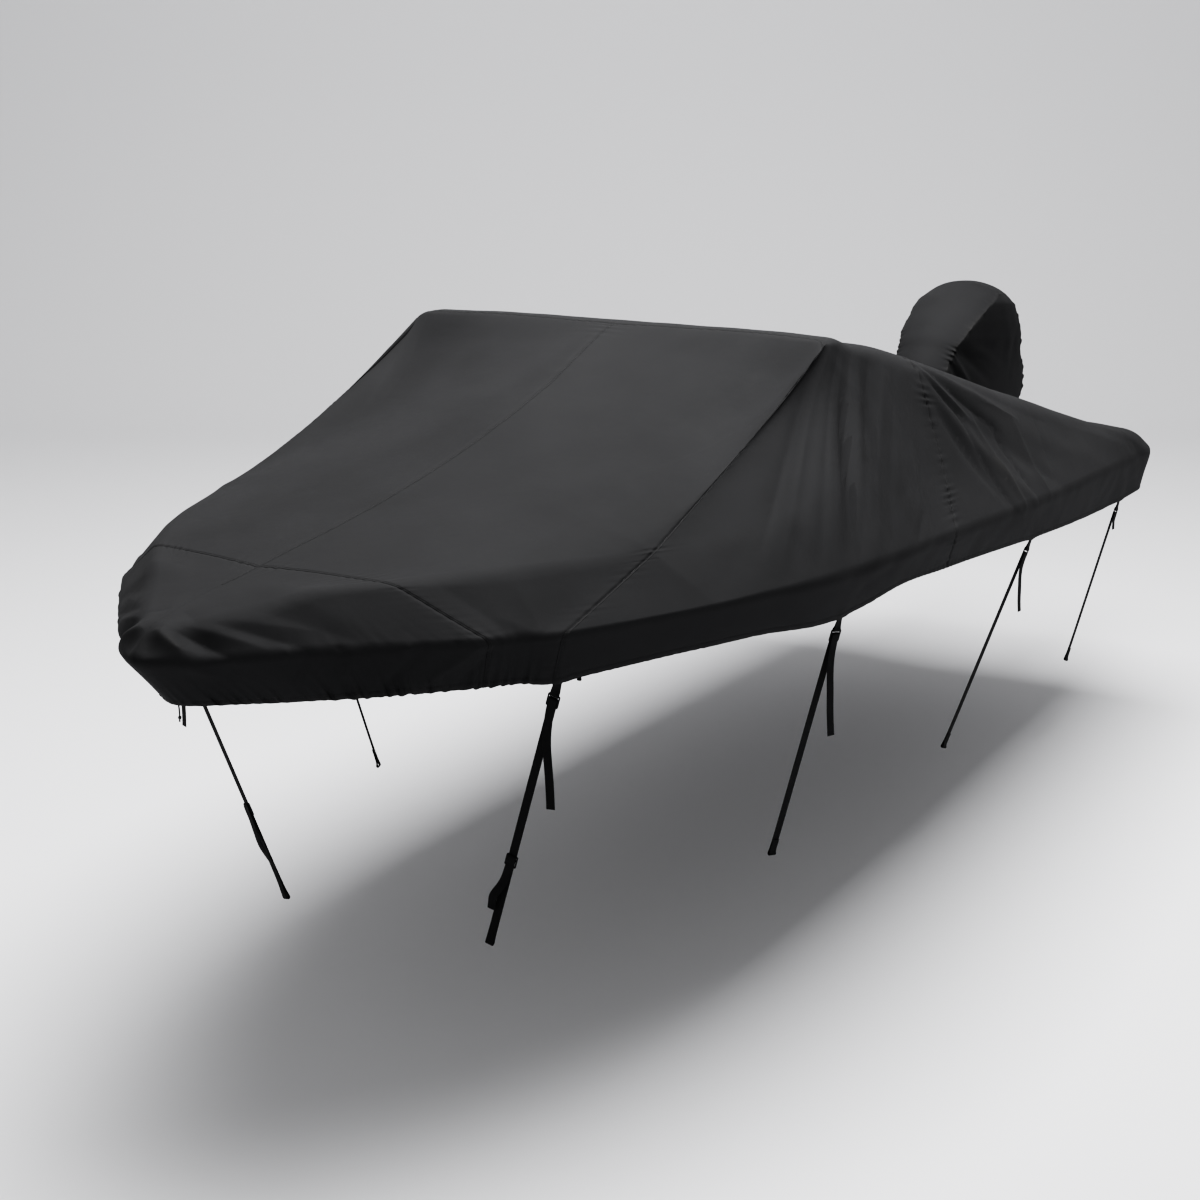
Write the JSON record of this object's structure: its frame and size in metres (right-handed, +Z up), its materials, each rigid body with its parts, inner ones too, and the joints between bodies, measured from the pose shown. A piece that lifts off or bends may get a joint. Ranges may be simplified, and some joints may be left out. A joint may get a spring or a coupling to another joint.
{
  "type": "trailering boat cover with a motor hood",
  "caption": "Fitted black cloth cover in the shape it takes over a trailered boat with a raised windscreen, with sewn tabs, slide buckles, tie-down straps and a matching motor hood.",
  "frame": {"origin": "point just under the cloth, at the middle of the ridge where the cover hangs on the top of the windscreen", "axes": "+Z up, -Y towards the bow, +X towards the port side"},
  "size_m": [2.2732, 5.9774, 1.7097],
  "materials": {
    "cloth": "matte coated plain weave",
    "webbing": "woven webbing",
    "buckle": "moulded",
    "cord": "braided cord"
  },
  "bodies": {
    "root": {"bow_cap_port": "cloth", "bow_cap_starboard": "cloth", "foredeck_port": "cloth", "foredeck_starboard": "cloth", "cabin_panel": "cloth", "stern_panel": "cloth", "hood_gusset": "cloth", "hood_side_port": "cloth", "hood_side_starboard": "cloth", "tab_port_1": "webbing", "buckle_port_1": "buckle", "strap_port_1": "webbing", "tab_port_2": "webbing", "buckle_port_2": "buckle", "strap_port_2": "webbing", "tab_port_3": "webbing", "buckle_port_3": "buckle", "strap_port_3": "webbing", "tab_port_4": "webbing", "buckle_port_4": "buckle", "strap_port_4": "webbing", "tab_starboard_1": "webbing", "buckle_starboard_1": "buckle", "strap_starboard_1": "webbing", "tab_starboard_2": "webbing", "buckle_starboard_2": "buckle", "strap_starboard_2": "webbing", "tab_starboard_3": "webbing", "buckle_starboard_3": "buckle", "strap_starboard_3": "webbing", "tab_starboard_4": "webbing", "buckle_starboard_4": "buckle", "strap_starboard_4": "webbing", "drawcord_end": "cord"}
  },
  "joints": []
}
